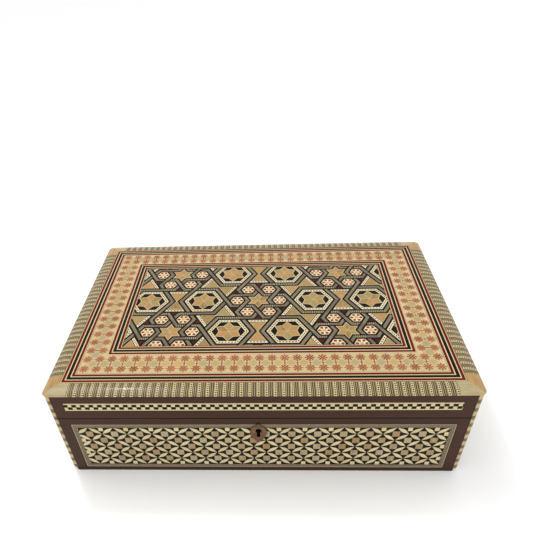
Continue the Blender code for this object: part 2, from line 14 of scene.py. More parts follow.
import bmesh
import bpy
import numpy as np
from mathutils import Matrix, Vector


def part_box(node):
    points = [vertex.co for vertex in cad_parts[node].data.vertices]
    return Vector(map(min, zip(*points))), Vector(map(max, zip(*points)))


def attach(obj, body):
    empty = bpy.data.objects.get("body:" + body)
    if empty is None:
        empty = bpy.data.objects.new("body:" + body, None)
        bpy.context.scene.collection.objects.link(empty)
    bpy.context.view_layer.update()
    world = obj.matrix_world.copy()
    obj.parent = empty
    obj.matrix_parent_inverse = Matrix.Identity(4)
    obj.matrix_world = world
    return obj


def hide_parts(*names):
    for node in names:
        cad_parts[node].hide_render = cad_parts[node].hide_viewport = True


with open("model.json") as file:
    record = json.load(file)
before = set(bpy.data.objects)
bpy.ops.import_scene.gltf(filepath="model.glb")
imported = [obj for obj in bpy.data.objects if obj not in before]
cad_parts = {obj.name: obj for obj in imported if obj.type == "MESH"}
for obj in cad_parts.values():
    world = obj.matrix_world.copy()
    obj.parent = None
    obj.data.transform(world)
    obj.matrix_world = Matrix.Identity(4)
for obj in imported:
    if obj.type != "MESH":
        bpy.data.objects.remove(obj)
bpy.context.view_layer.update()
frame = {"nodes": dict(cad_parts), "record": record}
MM = 0.001

# %% [markdown]
# ## Writing shaders as sums
#
# A shader is a graph, but a stripe or a grain reads better as a formula. `Wire` wraps one socket,
# and each operator on it adds a Math node, so that `(along / period) % 1 > 0.4` is a row of
# stripes. Every other node comes from `Finish.add`.


# %% A value in a shader
def joined(operation, turned=False):
    """A method that joins a wire and another value in one Math node, turned for `1 - wire`."""
    def method(self, other):
        pair = (other, self) if turned else (self, other)
        return self.maths(operation, *pair)
    return method


class Wire:
    """One output socket of a finish. Sums, products and comparisons on it add Math nodes."""

    __add__, __radd__ = joined("ADD"), joined("ADD", True)
    __sub__, __rsub__ = joined("SUBTRACT"), joined("SUBTRACT", True)
    __mul__, __rmul__ = joined("MULTIPLY"), joined("MULTIPLY", True)
    __truediv__, __mod__ = joined("DIVIDE"), joined("FLOORED_MODULO")
    __gt__, __lt__ = joined("GREATER_THAN"), joined("LESS_THAN")

    def __init__(self, finish, socket):
        self.finish, self.socket = finish, socket

    def __abs__(self):
        return self.maths("ABSOLUTE", self)

    def maths(self, operation, *values):
        return self.finish.add("Math", {"operation": operation}, dict(enumerate(values)))


# %% A finish and its nodes
class Finish:
    """A Principled material. Its keyword values are constants on the shader's own sockets."""

    def __init__(self, name, **constants):
        self.material = bpy.data.materials.new(name)
        self.material.use_nodes = True
        self.tree = self.material.node_tree
        self.shader = self.tree.nodes["Principled BSDF"]
        for words, value in constants.items():
            self.shader.inputs[words.replace("_", " ")].default_value = value

    def join(self, value, socket):
        """Links a wire to a socket, or sets the socket to a plain value."""
        if isinstance(value, Wire):
            self.tree.links.new(value.socket, socket)
        elif socket.type == "RGBA" and len(value) == 3:
            socket.default_value = (*value, 1.0)
        else:
            socket.default_value = value

    def add(self, kind, settings=None, inputs=None, output=0):
        """Adds a node: its settings first, then its sockets' values or links."""
        node = self.tree.nodes.new("ShaderNode" + kind)
        for word, value in (settings or {}).items():
            if word == "stops":
                ramp = node.color_ramp.elements
                while len(ramp) < len(value):
                    ramp.new(0.5)
                for stop, (place, colour) in zip(ramp, value):
                    stop.position, stop.color = place, (*colour, 1.0)
            else:
                setattr(node, word, value)
        for key, value in (inputs or {}).items():
            self.join(value, node.inputs[key])
        return Wire(self, node.outputs[output])

    def mix(self, share, first, second):
        """The first colour where share is 0 and the second where it is 1."""
        return self.add("Mix", {"data_type": "RGBA"}, {0: share, 6: first, 7: second}, 2)

    def ramp(self, share, *colours):
        """Evenly spaced colours along share."""
        stops = list(zip(np.linspace(0, 1, len(colours)).tolist(), colours))
        return self.add("ValToRGB", {"stops": stops}, {0: share})

    def own(self):
        """The piece's own grain coordinates in millimetres: x along the grain, y across it."""
        return self.add("UVMap", {"uv_map": "own"})

    def place(self):
        """Object coordinates, in millimetres."""
        metres = self.add("TexCoord", output="Object")
        return self.add("Mapping", None, {"Vector": metres, "Scale": (1 / MM,) * 3})

    def part(self, vector, axis):
        """One of a vector's three numbers."""
        return self.add("SeparateXYZ", None, {0: vector}, axis)

    def noise(self, vector, stretch, detail=3.0, roughness=0.55):
        """Noise with features about stretch millimetres long in x, y and z."""
        scaled = self.add("Mapping", None, {"Vector": vector,
                                            "Scale": tuple(1 / size for size in stretch)})
        return self.add("TexNoise", None, {"Vector": scaled, "Scale": 1.0, "Detail": detail,
                                           "Roughness": roughness})

    def tint(self):
        """A number from 0 to 1 that each tessera has of its own."""
        return self.add("Attribute", {"attribute_name": "tint"}, output="Fac")

    def relief(self, height, depth, strength=1.0):
        """Bumps the surface by height, depth millimetres from lowest to highest."""
        bump = self.add("Bump", None, {"Height": height, "Distance": depth * MM,
                                       "Strength": strength})
        self.join(bump, self.shader.inputs["Normal"])

    def done(self, colour, roughness=None):
        """Sets the colour, and the roughness where it varies, and returns the material."""
        self.join(colour, self.shader.inputs["Base Color"])
        if roughness is not None:
            self.join(roughness, self.shader.inputs["Roughness"])
        return self.material


STUDIO = 1.22                   # how bright the studio light makes a white top face


def tone(red, green, blue):
    """A colour as it should look, 0 to 255, turned into the share of light it sends back.

    Linear light is ((c + 0.055) / 1.055) to the power 2.4, here divided by the studio light.
    """
    shares = np.array([red, green, blue]) / 255
    low = shares / 12.92
    high = ((shares + 0.055) / 1.055) ** 2.4
    return tuple((np.where(shares < 0.04045, low, high) / STUDIO).tolist())


# %% [markdown]
# ## Finishes of the tesserae
#
# Pearl is cut from the shell's thick part, so its colour runs from honey to grey-green from piece
# to piece, with streaks that follow the growth lines. Bone is creamy with fine pores. Ebony,
# padauk and orange-stained wood show short straight pores. Each finish reads the tessera's own
# tint, and its grain coordinates, which turn with the piece.


# %% Shell, bone and woods
LACQUER = {"Specular_IOR_Level": 0.07, "Coat_Weight": 0.02, "Coat_Roughness": 0.12}


def shell_finish(name, *colours):
    """Colour from the tint plus streaks: long noise along the grain, bent by a broad noise."""
    finish = Finish(name, Roughness=0.24, **LACQUER)
    own = finish.own()
    streak = finish.noise(own, (9.0, 0.9, 1.0), 4.0, 0.6)
    cloud = finish.noise(own, (3.4, 2.4, 1.0), 2.0)
    share = finish.tint() * 0.8 + streak * 0.55 + cloud * 0.35 - 0.35
    body = finish.ramp(share, *colours)
    glow = finish.mix((cloud - 0.5) * 1.1, body, tone(212, 188, 140))
    finish.relief(streak, 0.02, 0.5)
    return finish.done(glow, 0.34 - streak * 0.2)


def bone_finish(name, light, dark):
    """Bone: pale with a few darker pores, noise stretched three to one along the piece."""
    finish = Finish(name, Roughness=0.3, **LACQUER)
    own = finish.own()
    pores = finish.noise(own, (1.6, 0.35, 1.0), 3.0)
    share = finish.tint() * 0.45 + (pores - 0.35) * 1.1
    finish.relief(pores, 0.01, 0.4)
    return finish.done(finish.mix(share, light, dark), 0.24 + pores * 0.16)


def wood_finish(name, light, dark):
    """A stained veneer: straight pores, noise stretched eight to one along the grain."""
    finish = Finish(name, Roughness=0.3, **LACQUER)
    own = finish.own()
    pores = finish.noise(own, (4.0, 0.28, 1.0), 4.0)
    share = finish.tint() * 0.5 + (pores - 0.4) * 1.4
    finish.relief(pores, 0.012, 0.4)
    return finish.done(finish.mix(share, light, dark), 0.22 + pores * 0.2)


def hatched_finish(name, period, duty, light, dark, middle):
    """Strips sawn from a stack of pale and dark veneers: dark for duty of each period.

    Half the strips were cut the other way, along the stack, and look plain in between.
    """
    finish = Finish(name, Roughness=0.3, **LACQUER)
    own = finish.own()
    along = finish.part(own, "X")
    wander = finish.noise(own, (6.0, 6.0, 1.0), 2.0)
    stripe = (along / period + wander * 0.3) % 1.0 < duty
    grain = finish.noise(own, (0.5, 2.0, 1.0), 3.0)
    pale = finish.mix(grain, light, tuple(0.66 * c for c in light))
    deep = finish.mix(grain, tuple(1.5 * c for c in dark), dark)
    plain = finish.mix(grain, middle, tuple(0.75 * c for c in middle))
    sawn = finish.mix(stripe, pale, deep)
    return finish.done(finish.mix((finish.tint() - 0.45) * 3.0, sawn, plain), 0.26 + grain * 0.12)


PEARL = shell_finish("pearl", tone(138, 112, 66), tone(168, 138, 86), tone(186, 146, 92),
                     tone(160, 146, 96), tone(194, 140, 90), tone(176, 158, 104))
PALE_PEARL = shell_finish("pale_pearl", tone(190, 160, 120), tone(206, 176, 140),
                          tone(178, 166, 124), tone(210, 184, 146))
DULL_PEARL = shell_finish("dull_pearl", tone(150, 132, 100), tone(174, 152, 118),
                          tone(160, 128, 88), tone(184, 172, 138), tone(168, 142, 106))
OLIVE_PEARL = shell_finish("olive_pearl", tone(172, 158, 116), tone(192, 168, 116),
                           tone(176, 164, 128), tone(206, 174, 112), tone(184, 156, 106))
BONE = bone_finish("bone", tone(238, 218, 172), tone(206, 180, 126))
DULL_BONE = bone_finish("dull_bone", tone(230, 214, 170), tone(204, 182, 132))
BAND_BONE = bone_finish("band_bone", tone(224, 204, 158), tone(202, 176, 126))
WHITE_BONE = bone_finish("white_bone", tone(246, 232, 194), tone(222, 202, 154))
EBONY = wood_finish("ebony", tone(20, 15, 12), tone(6, 5, 4))
PADAUK = wood_finish("padauk", tone(118, 18, 8), tone(88, 9, 4))
DARK_RED = wood_finish("dark_red", tone(88, 30, 14), tone(54, 16, 8))
ORANGE = wood_finish("orange_wood", tone(166, 66, 14), tone(128, 44, 8))
ROSEWOOD = wood_finish("rosewood", tone(176, 108, 66), tone(136, 72, 40))
HATCHED = hatched_finish("hatched", 1.2, 0.5, tone(190, 176, 142), tone(60, 50, 38),
                         tone(126, 112, 88))
ROPE = hatched_finish("rope", 0.9, 0.5, tone(172, 158, 132), tone(92, 80, 62),
                      tone(134, 120, 98))
TESSERA_FINISHES = [PEARL, PALE_PEARL, DULL_PEARL, OLIVE_PEARL, BONE, DULL_BONE, BAND_BONE,
                    WHITE_BONE, EBONY, PADAUK, DARK_RED, ORANGE, ROSEWOOD, HATCHED, ROPE]
print(len(TESSERA_FINISHES), "tessera finishes")

# %% [markdown]
# ## Finishes of the carcase, the metal and the lining
#
# The boards are mahogany under brown gloss lacquer. Their grain runs along each board, so there is
# one finish for the long boards and one for the short ones. The brass of the hinges and the
# keyhole plate has gone brown where hands and air reach it. The lining is cotton velvet: its
# sheen shows at grazing angles, and the pile lies in patches.


# %% Boards, metal and velvet
SEAM = 50.5                     # height at which the lid meets the base, in millimetres
OUTER_X, OUTER_Y = 122.1, 81.2  # beyond these a face is on the outside of the box


def board_finish(name, stretch):
    """Brown lacquer over grain: a broad figure plus fine pores, both stretched along the board.

    The seam where the lid meets the base carries a painted shade line, and it has one scraped
    place at the front left.
    """
    finish = Finish(name, Specular_IOR_Level=0.08, Coat_Weight=0.05, Coat_Roughness=0.08)
    place = finish.place()
    figure = finish.noise(place, tuple(6 * size for size in stretch), 3.0)
    pores = finish.noise(place, stretch, 4.0)
    scuffs = finish.noise(place, (3.0, 3.0, 3.0), 5.0, 0.7)
    body = finish.ramp(figure * 0.8 + pores * 0.35, tone(44, 26, 18), tone(62, 40, 29),
                       tone(71, 45, 33), tone(90, 47, 31))
    worn = finish.mix((scuffs - 0.7) * 3.0, body, tone(120, 96, 84))
    height, along = finish.part(place, "Z"), finish.part(place, "X")
    outside = (abs(finish.part(place, "Y")) > OUTER_Y) + (abs(along) > OUTER_X)
    # Painted shade: the outside of the seam between lid and base is painted near black, in a band
    # 1.1 mm tall.
    seam = abs(height - SEAM) < 0.55
    seam_shaded = finish.mix(seam * outside * 0.8, worn, tone(26, 14, 11))
    scrape = finish.noise(place, (1.6, 1.6, 0.25), 4.0, 0.7)
    at_scrape = outside * (abs(height - 50.2) < 0.5) * (abs(along + 70.0) < 12.0)
    scraped = finish.mix(at_scrape * (scrape - 0.5) * 3.0, seam_shaded, tone(124, 108, 100))
    finish.relief(pores, 0.03, 0.35)
    return finish.done(scraped, 0.2 + scuffs * 0.25)


def metal_finish(name, light, dark, rough):
    """Metal with tarnish: a cloudy mix of bright and dark, rougher where it is dark."""
    finish = Finish(name, Metallic=1.0)
    place = finish.place()
    cloud = finish.noise(place, (2.2, 2.2, 2.2), 5.0, 0.65)
    brushed = finish.noise(place, (3.0, 0.12, 0.12), 2.0)
    finish.relief(brushed * 0.4 + cloud * 0.6, 0.05, 0.5)
    return finish.done(finish.ramp(cloud * 1.6 - 0.3, light, dark), rough + cloud * 0.3)


def velvet_finish(name):
    """Red pile: patches where it lies one way or the other, and a fine prick of fibre ends."""
    finish = Finish(name, Sheen_Weight=0.6, Sheen_Roughness=0.4)
    finish.shader.inputs["Sheen Tint"].default_value = (*tone(235, 120, 110), 1.0)
    place = finish.place()
    lie = finish.noise(place, (14.0, 10.0, 10.0), 2.0)
    fibre = finish.noise(place, (0.35, 0.35, 0.35), 2.0)
    finish.relief(fibre * 0.7 + lie * 0.3, 0.25, 0.7)
    colour = finish.ramp(lie * 0.8 + fibre * 0.4, tone(78, 8, 12), tone(118, 14, 20),
                         tone(142, 26, 30))
    return finish.done(colour, 0.8 + fibre * 0.15)


def corner_finish(name):
    """Corner strips: bone blocks, and blocks of thin dark lines, in turn up the corner."""
    finish = Finish(name, Roughness=0.3, **LACQUER)
    place = finish.place()
    up = finish.part(place, "Z")
    wander = finish.noise(place, (9.0, 9.0, 5.0), 2.0)
    height = up + wander * 0.9
    block = (height / 6.6) % 1.0 > 0.52
    line = (height / 1.05) % 1.0 > 0.45
    grain = finish.noise(place, (0.8, 0.8, 2.5), 3.0)
    bone = finish.mix(grain, tone(222, 200, 150), tone(178, 152, 106))
    lined = finish.mix(line, tone(164, 146, 112), tone(62, 48, 38))
    return finish.done(finish.mix(block, bone, lined), 0.26 + grain * 0.14)


MAHOGANY_LONG = board_finish("mahogany_long", (26.0, 0.5, 0.9))
MAHOGANY_SHORT = board_finish("mahogany_short", (0.5, 26.0, 0.9))
PLYWOOD = board_finish("plywood", (30.0, 1.2, 1.2))
BRASS = metal_finish("aged_brass", (0.27, 0.155, 0.08), (0.075, 0.04, 0.024), 0.34)
STEEL = metal_finish("steel", (0.48, 0.47, 0.45), (0.2, 0.19, 0.18), 0.3)
VELVET = velvet_finish("velvet")
CORNER = corner_finish("corner_strip")

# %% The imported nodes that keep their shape
BY_SLOT = {row["node"]: row["material_slot"] for row in frame["record"]["subparts"]}
SHORT_BOARDS = ("base_left", "base_right", "lid_left", "lid_right")
FINISH_OF = {"mahogany": MAHOGANY_LONG, "plywood": PLYWOOD, "aged_brass": BRASS, "steel": STEEL,
             "velvet": VELVET, "bone_and_ebony_mosaic": EBONY}
for name, node in frame["nodes"].items():
    look = FINISH_OF.get(BY_SLOT[name])
    if name in SHORT_BOARDS:
        look = MAHOGANY_SHORT
    if "_corner_" in name and not name.startswith("pearl"):
        look = CORNER
    if name.startswith("checker"):
        look = BONE
    if look:
        node.data.materials.clear()
        node.data.materials.append(look)
print(len(frame["nodes"]), "packed nodes")

# %% [markdown]
# ## Laying tesserae
#
# A tessera is an outline on a flat plane, kept as complex numbers, because turning a shape is then
# one multiplication. `Mosaic` gathers outlines with their finish and the direction of their grain.
# `lay` trims them to the region with straight cuts, as a knife and rule would, stands the plane
# where the surface is, and lets Solidify give each piece its thickness. Pieces that lie on a
# ground piece get a lift of a few hundredths of a millimetre, which is all that sanding leaves.


# %% The mosaic layer
LIFT = 0.02          # millimetres that one layer stands above the one under it


def polar(radius, degrees):
    """The complex point at that radius and angle."""
    return radius * np.exp(1j * np.radians(degrees))


SIXTHS = polar(1.0, 60.0 * np.arange(6))
CORNERS = np.array([-1 - 1j, 1 - 1j, 1 + 1j, -1 + 1j])
DIAMOND = np.array([-1, -1j, 1, 1j])


def rectangle(half_x, half_y):
    """The four corners of a rectangle about zero."""
    return CORNERS.real * half_x + 1j * CORNERS.imag * half_y


class Mosaic:
    """Flat tesserae on one plane, in millimetres."""

    def __init__(self, seed):
        self.random = np.random.default_rng(seed)
        self.groups = []

    def add(self, outlines, look, grain=0.0, lift=0):
        """Adds outlines, an array of shape (pieces, corners), with their grain's angle.

        The signed area of each, half the sum of x times next y less y times next x, says which
        way round it runs, and those that run clockwise are turned over.
        """
        shapes = np.atleast_2d(outlines)
        following = np.roll(shapes, -1, axis=1)
        area = (shapes.conj() * following).imag.sum(axis=1)
        shapes = np.where(area[:, None] > 0, shapes, shapes[:, ::-1])
        along = polar(1.0, np.degrees(np.broadcast_to(grain, len(shapes))))
        middle = shapes.mean(axis=1, keepdims=True)
        offset = self.random.uniform(-400, 400, (len(shapes), 2)) @ np.array([1, 1j])
        own = (shapes - middle) / along[:, None] + offset[:, None]
        tint = self.random.random(len(shapes))
        self.groups.append((shapes, own, TESSERA_FINISHES.index(look), tint, lift))

    def lay(self, name, body, slot, low, high, origin, across, up, thick=0.3, hole=None):
        """Makes the piece. low and high trim it; origin, across and up place its plane."""
        groups, owns, looks, tints, lifts = zip(*self.groups)
        flat = np.concatenate([shapes.ravel() for shapes in groups])
        rise = np.repeat(np.array(lifts) * LIFT, [shapes.size for shapes in groups])
        faces, start = [], 0
        for shapes in groups:
            faces += (start + np.arange(shapes.size).reshape(shapes.shape)).tolist()
            start += shapes.size
        mesh = bpy.data.meshes.new(name)
        mesh.from_pydata(np.stack([flat.real, flat.imag, rise], axis=1).tolist(), [], faces)
        indices = np.repeat(looks, [len(shapes) for shapes in groups])
        mesh.polygons.foreach_set("material_index", indices.astype(np.int32))
        tint = mesh.attributes.new("tint", "FLOAT", "FACE")
        tint.data.foreach_set("value", np.concatenate(tints))
        own = np.concatenate([own.ravel() for own in owns])
        layer = mesh.uv_layers.new(name="own")
        layer.data.foreach_set("uv", np.stack([own.real, own.imag], axis=1).ravel())
        trim(mesh, low, high, hole)
        points = np.empty(len(mesh.vertices) * 3)
        mesh.vertices.foreach_get("co", points)
        points = points.reshape(-1, 3)
        normal = np.cross(across, up)
        placed = np.array(origin) + MM * (points[:, :1] * np.array(across)
                                          + points[:, 1:2] * np.array(up)
                                          + points[:, 2:] * normal)
        mesh.vertices.foreach_set("co", placed.ravel())
        for look in TESSERA_FINISHES:
            mesh.materials.append(look)
        drop_unused(mesh)
        piece = place_piece(mesh, name, body)
        wall = piece.modifiers.new("thickness", "SOLIDIFY")
        wall.thickness = thick * MM
        wall.offset = -1.0
        print(name, len(mesh.polygons), "tesserae")
        return piece


def cut(shape, point, normal, clear_outer):
    """One straight cut through every piece, which may clear what its normal points at."""
    bmesh.ops.bisect_plane(shape, geom=shape.verts[:] + shape.edges[:] + shape.faces[:],
                           dist=1e-5, plane_co=(*point, 0), plane_no=(*normal, 0),
                           clear_outer=clear_outer)


def trim(mesh, low, high, hole):
    """Cuts away what lies outside the rectangle low to high, and what lies inside hole."""
    shape = bmesh.new()
    shape.from_mesh(mesh)
    for point, normal in (((low[0], 0), (-1, 0)), ((0, low[1]), (0, -1)),
                          ((high[0], 0), (1, 0)), ((0, high[1]), (0, 1))):
        cut(shape, point, normal, True)
    if hole:
        (x0, y0), (x1, y1) = hole
        for point, normal in (((x0, 0), (1, 0)), ((x1, 0), (1, 0)),
                              ((0, y0), (0, 1)), ((0, y1), (0, 1))):
            cut(shape, point, normal, False)
        inside = [face for face in shape.faces
                  if x0 < face.calc_center_median().x < x1
                  and y0 < face.calc_center_median().y < y1]
        bmesh.ops.delete(shape, geom=inside, context="FACES")
    slivers = [face for face in shape.faces if face.calc_area() < 0.01]
    bmesh.ops.delete(shape, geom=slivers, context="FACES")
    shape.to_mesh(mesh)
    shape.free()


def drop_unused(mesh):
    """Leaves out the materials that no face has, and numbers the rest again."""
    indices = np.empty(len(mesh.polygons), dtype=np.int32)
    mesh.polygons.foreach_get("material_index", indices)
    used, again = np.unique(indices, return_inverse=True)
    looks = [mesh.materials[int(index)] for index in used]
    mesh.materials.clear()
    for look in looks:
        mesh.materials.append(look)
    mesh.polygons.foreach_set("material_index", again.astype(np.int32))


def new_object(name, data):
    """An object of the data, in the scene."""
    made = bpy.data.objects.new(name, data)
    bpy.context.scene.collection.objects.link(made)
    return made


def place_piece(mesh, name, body):
    """An object of the mesh that rides on a body; its finishes are the mesh's own."""
    piece = new_object(name, mesh)
    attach(piece, body)
    return piece


# %% [markdown]
# ## The star field
#
# The middle of the lid is a star pattern: grey straps weave over and under each other around two
# kinds of cell. Small six-pointed stars sit on a triangular lattice, each ringed by six hexagons.
# Every other lattice point carries a large star inside a dashed hexagon. The straps are drawn
# from eight lengths around a small star, and six turns give the rest. The black lines beside
# each strap are the ground showing, left open by the strap's true width.

# %% Lattice and straps
HIGH = 0.072                    # top of the lid, in metres
STAR_PITCH = 37.43              # lattice step, in millimetres
STAR_STRETCH = 1.0137           # the maker's steps are a little longer from front to back
STAR_CENTRE = -1.4 + 4.2j
STRAP = 0.0575                  # half a strap with its black lines, in lattice steps
STRAP_CORE = 0.026              # half its grey middle
SHIFT = 1.8                     # the star field and inner frame sit back of the middle
FIELD = (85.1, 44.1)            # half the field's size, in millimetres
DASH_LONG, DASH_WIDE = 0.031, 0.019                       # in lattice steps, as the cells are

steps = np.arange(-4, 5)
small_stars = (polar(math.sqrt(3), 30) * steps[:, None]
               + polar(math.sqrt(3), -30) * steps[None, :]).ravel()
large_stars = np.concatenate([small_stars + 1.0, small_stars + polar(1.0, 60)])


def around(centres, motif, turn=0.0):
    """Six turned copies of motif about every centre, in millimetres on the lid."""
    six = SIXTHS[:, None] * np.atleast_2d(motif)[:, None, :] * polar(1.0, turn)
    shapes = (centres[:, None, None] + six.reshape(-1, np.shape(motif)[-1])[None]).reshape(
        -1, np.shape(motif)[-1])
    return (shapes.real + 1j * shapes.imag * STAR_STRETCH) * STAR_PITCH + STAR_CENTRE


def strap(start, end, cut_start, cut_end, half):
    """A strap's four corners. A cut (a, b) leaves off a + b * v at offset v to the left."""
    along = (end - start) / abs(end - start)
    offset = np.array([-half, half])
    near = start + along * (cut_start[0] + cut_start[1] * offset) + 1j * along * offset
    far = end - along * (cut_end[0] - cut_end[1] * offset) + 1j * along * offset
    return np.array([near[0], far[0], far[1], near[1]])


SLANT = 1 / math.sqrt(3)                                  # cotangent of 60 degrees
OVER = (0.0, 0.0)                                         # meets its other half in the middle
UNDER = (STRAP * 2 * SLANT, SLANT)                        # stops at the strap that covers it
LEFT, RIGHT = (0.0, SLANT), (0.0, -SLANT)                 # mitred bends
inner = 0.19245 + 0j
touch = polar(1 / 3, 30)
outer_bend = 0.48113 + 1j / 6
meet = SLANT + 0j
far_bend = 1 + polar(0.42265, 120)
straps = [
    (inner, touch, RIGHT, OVER), (inner, touch.conjugate(), LEFT, UNDER),
    (touch, outer_bend, UNDER, LEFT), (touch.conjugate(), outer_bend.conjugate(), OVER, RIGHT),
    (outer_bend, meet, RIGHT, OVER), (outer_bend.conjugate(), meet, LEFT, UNDER),
    (meet, far_bend, UNDER, LEFT), (meet, far_bend.conjugate(), OVER, RIGHT),
]
print(len(straps), "strap lengths a turn,", len(small_stars), "small stars,",
      len(large_stars), "large")


# %% Cells of the star field
def kites(tip, notch, shrink=0.95):
    """One kite of a six-pointed star that points along x, drawn in towards its middle."""
    shape = np.array([0, polar(notch, -30), tip, polar(notch, 30)])
    return shape.mean() + (shape - shape.mean()) * shrink


def dash(u, v):
    """A small upright rectangle about (u, v)."""
    return (u + 1j * v) + rectangle(DASH_WIDE, DASH_LONG) / 2


star = Mosaic(seed=11)
for start, end, cut_start, cut_end in straps:
    shape = around(small_stars, strap(start, end, cut_start, cut_end, STRAP_CORE))
    star.add(shape, HATCHED, np.angle(shape[:, 1] - shape[:, 0]))

edge = np.array([0.249 / math.cos(math.pi / 6), 0.3045 / math.cos(math.pi / 6)])
side = np.array([polar(edge[0], 0), polar(edge[1], 0), polar(edge[1], 60), polar(edge[0], 60)])
side = side * 0.998
star.add(around(large_stars, side), WHITE_BONE)
for step in range(-3, 3):
    shape = around(large_stars, dash(0.277, (step + 0.5) * 0.053), 30)
    star.add(shape, EBONY, lift=1)
star.add(around(large_stars, kites(0.246, 0.164, 1.0), 30), BONE)
shape = around(large_stars, kites(0.237, 0.156, 0.96), 30)
star.add(shape, PEARL, np.angle(shape[:, 2] - shape[:, 0]), lift=1)

star.add(around(small_stars, kites(0.215, 0.124, 1.0), 30), BONE)
shape = around(small_stars, kites(0.205, 0.116), 30)
star.add(shape, PEARL, np.angle(shape[:, 2] - shape[:, 0]), lift=1)

ring_cells = (small_stars[:, None] + 0.3849 * SIXTHS[None, :]).ravel()
wedge_shape = np.array([0.113, polar(0.084, 22), 0.038, polar(0.084, -22)])
star.add(around(ring_cells, np.array([0, polar(0.121, 0), polar(0.121, 60)])), WHITE_BONE)
star.add(around(ring_cells, wedge_shape), ORANGE, lift=1)
star.add(around(ring_cells, np.array([0, polar(0.033, 0), polar(0.033, 60)])), PALE_PEARL, lift=1)


def reach(u):
    """Half the width of a spoke's cell at u: its edge falls 0.577 for each step outwards."""
    return 0.2223 - SLANT * (u - 0.5)


def spoke(u0, u1, spare):
    """A slice of a spoke's cell from u0 to u1."""
    return np.array([u0 - 1j * (reach(u0) - spare), u1 - 1j * (reach(u1) - spare),
                     u1 + 1j * (reach(u1) - spare), u0 + 1j * (reach(u0) - spare)])


triangle = np.array([0.456, 0.5535 - 0.0565j, 0.5535 + 0.0565j])
star.add(around(small_stars, triangle, 30), DARK_RED)
star.add(around(small_stars, spoke(0.571, 0.622, 0.006), 30), WHITE_BONE)
for step in range(-2, 3):
    star.add(around(small_stars, dash(0.5965, step * 0.056), 30), EBONY, lift=1)
star.add(around(small_stars, spoke(0.638, 0.864, 0.003), 30), BONE)
shape = around(small_stars, spoke(0.644, 0.852, 0.009), 30)
star.add(shape, PEARL, np.angle(shape[:, 1] - shape[:, 0]), lift=1)

TOP = {"across": (1, 0, 0), "up": (0, 1, 0)}
top_level = HIGH - 2 * LIFT * MM
star_piece = star.lay("star_field_tesserae", "lid", "pearl_star_mosaic",
                      (-FIELD[0], SHIFT - FIELD[1]), (FIELD[0], SHIFT + FIELD[1]),
                      (0, 0, top_level), **TOP)
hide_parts("star_field")

# %% [markdown]
# ## The two frames of seven lines
#
# Long fillets of bone, padauk and ebony, half a millimetre to two millimetres wide, are glued side
# by side into one ribbon, which is then mitred at the corners. Each line is four trapeziums, so
# the mitre joint is really there.


# %% Frames of fillets
ALONG_SIDES = np.radians([0.0, 90.0, 0.0, 90.0])


def ring(outer, inside):
    """Four trapeziums between the corners of two rectangles."""
    return np.stack([outer, np.roll(outer, -1), np.roll(inside, -1), inside], axis=1)


def mitred(half_x, half_y, near, far):
    """Four trapeziums between two insets of a rectangle."""
    return ring(rectangle(half_x - near, half_y - near), rectangle(half_x - far, half_y - far))


FILLETS = [(BONE, 0.5), (PADAUK, 1.8), (BONE, 0.75), (EBONY, 2.15), (BONE, 0.75),
           (PADAUK, 1.8), (BONE, 0.5)]
JOINT = 0.02                    # half the glue line between two fillets


def fillet_frame(name, half_x, half_y, width, shift, seed):
    """Seven mitred fillets, scaled to fill the width."""
    lines = Mosaic(seed)
    edges = np.cumsum([0.0] + [wide for _, wide in FILLETS])
    edges = edges * width / edges[-1]
    for (look, _), near, far in zip(FILLETS, edges, edges[1:]):
        shapes = mitred(half_x, half_y, near + JOINT, far - JOINT)
        lines.add(shapes + 1j * shift, look, ALONG_SIDES, lift=1)
    piece = lines.lay(f"{name}_fillets", "lid", "line_veneer", (-half_x, shift - half_y),
                      (half_x, shift + half_y), (0, 0, top_level), **TOP)
    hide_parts(name)


fillet_frame("outer_frame", 114.4, 73.4, 7.2, 0.0, seed=21)
fillet_frame("inner_frame", 92.6, 51.6, 7.2, SHIFT, seed=22)

# %% [markdown]
# ## The rosette band
#
# Between the frames runs a band of cream veneer set with two rows of small eight-petalled
# rosettes, and a row of pearl diamonds where four rosettes meet. The rosettes are sliced from a
# bundle of tiny wooden rods, so all of them are alike, and only the diamonds change colour.

# %% Rosettes and diamonds
BAND_OUTER = (107.0, 66.0)
BAND_INNER = (92.7, 51.7)
ROW_SHARES = np.array([0.24, 0.765])                      # of the band's width, from outside
END_COLUMNS = np.array([96.2, 103.6])
band = Mosaic(seed=31)
band.add(ring(rectangle(*BAND_OUTER), rectangle(*BAND_INNER) + 1j * SHIFT), BAND_BONE,
         ALONG_SIDES)


def in_rows(xs, ys):
    """Every x with every y, row by row."""
    return (xs[None, :] + 1j * ys[:, None]).ravel()


def in_columns(xs, ys):
    """Every x with every y, column by column."""
    return (xs[:, None] + 1j * ys[None, :]).ravel()


columns = np.linspace(-END_COLUMNS[1], END_COLUMNS[1], 29)
front_rows = -BAND_OUTER[1] + ROW_SHARES * (BAND_OUTER[1] - BAND_INNER[1] + SHIFT)
back_rows = BAND_OUTER[1] - ROW_SHARES[::-1] * (BAND_OUTER[1] - BAND_INNER[1] - SHIFT)
ranks = np.linspace(front_rows[1], back_rows[0], 15)
row_middles = np.array([front_rows.mean(), back_rows.mean()])
end_middles = END_COLUMNS.mean() * np.array([-1, 1])
rosettes = np.concatenate([in_rows(columns, np.r_[front_rows, back_rows]),
                           in_rows(np.r_[-END_COLUMNS[::-1], END_COLUMNS], ranks[1:-1])])
diamonds = np.concatenate([in_rows((columns[1:] + columns[:-1]) / 2, row_middles),
                           in_columns(end_middles, (ranks[1:] + ranks[:-1]) / 2)])
knots = np.concatenate([in_rows(columns[1:-1], row_middles),
                        in_columns(end_middles, ranks[1:-1])])
eighths = polar(1.0, 45.0 * np.arange(8) + 22.5)
quarters = polar(1.0, 90.0 * np.arange(4))


